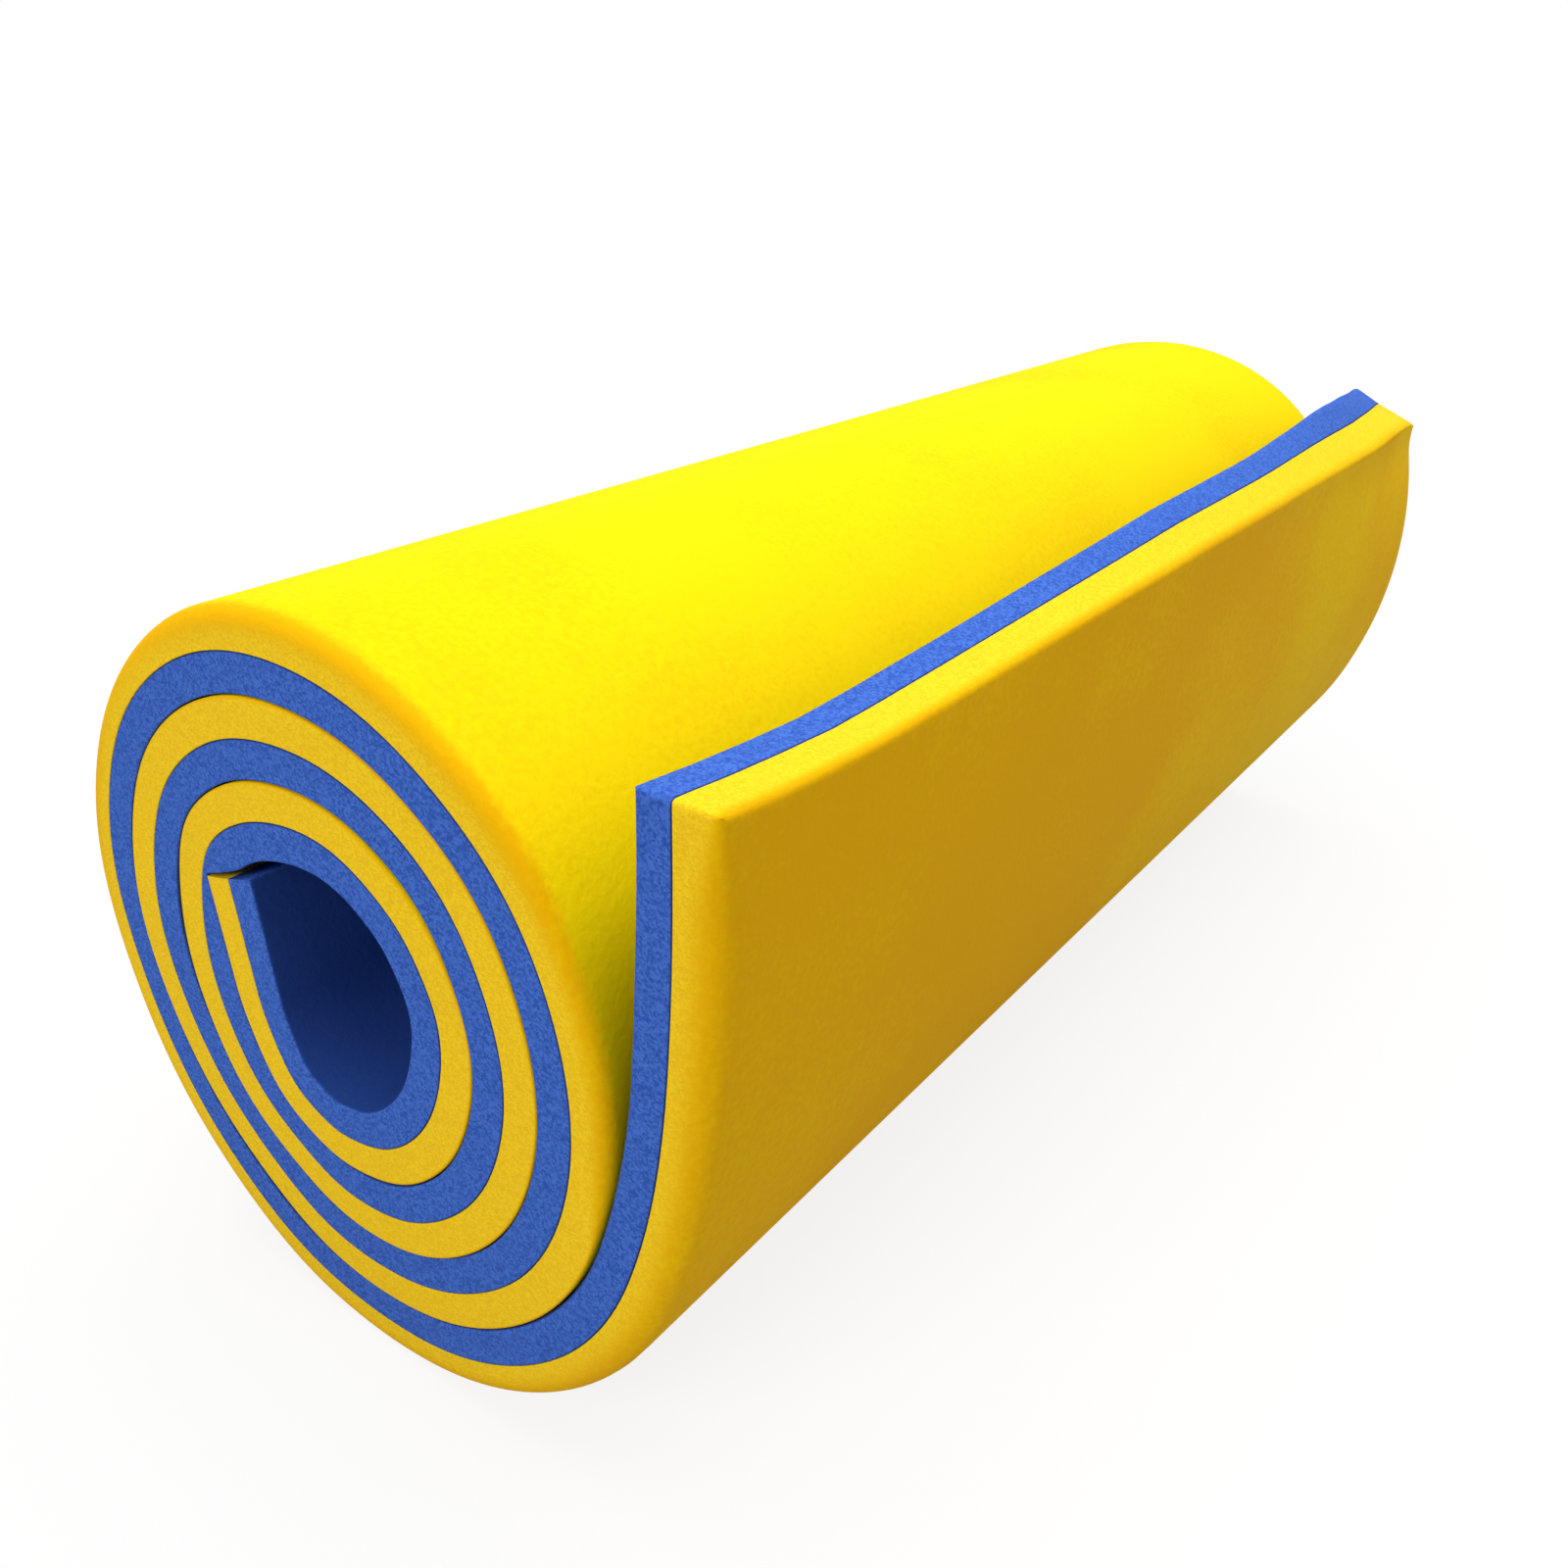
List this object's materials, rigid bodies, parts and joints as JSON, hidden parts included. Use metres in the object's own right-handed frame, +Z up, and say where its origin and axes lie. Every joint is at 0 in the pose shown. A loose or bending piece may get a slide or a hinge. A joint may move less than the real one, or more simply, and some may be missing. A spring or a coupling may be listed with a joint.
{
  "type": "swim float mat",
  "caption": "Rolled closed-cell foam swim float mat: a yellow ply bonded to a blue ply, wound with the yellow outside, its outer end standing free as a flap",
  "frame": {"origin": "The middle of the narrow strip that the roll is pressed flat on, halfway along the roll, on the floor", "axes": "+Z up, +Y along the roll away from the end that the picture shows, +X towards the flap"},
  "size_m": [0.2825, 0.6, 0.2631],
  "materials": {
    "yellow_foam": "matt skin of closed-cell polyethylene foam",
    "blue_foam": "matt closed-cell polyethylene foam, cut cells at its edges"
  },
  "bodies": {
    "roll": {"yellow_ply_roll": "yellow_foam", "blue_ply_roll": "blue_foam"},
    "flap": {"yellow_ply_flap": "yellow_foam", "blue_ply_flap": "blue_foam"}
  },
  "joints": [
    {"name": "flap_bend", "type": "hinge", "parent": "roll", "child": "flap", "pos_m": [0.13288, 0, 0.0972], "axis": [0, 1, 0], "range_deg": [0, 45], "stiffness_Nm_per_rad": 3}
  ]
}
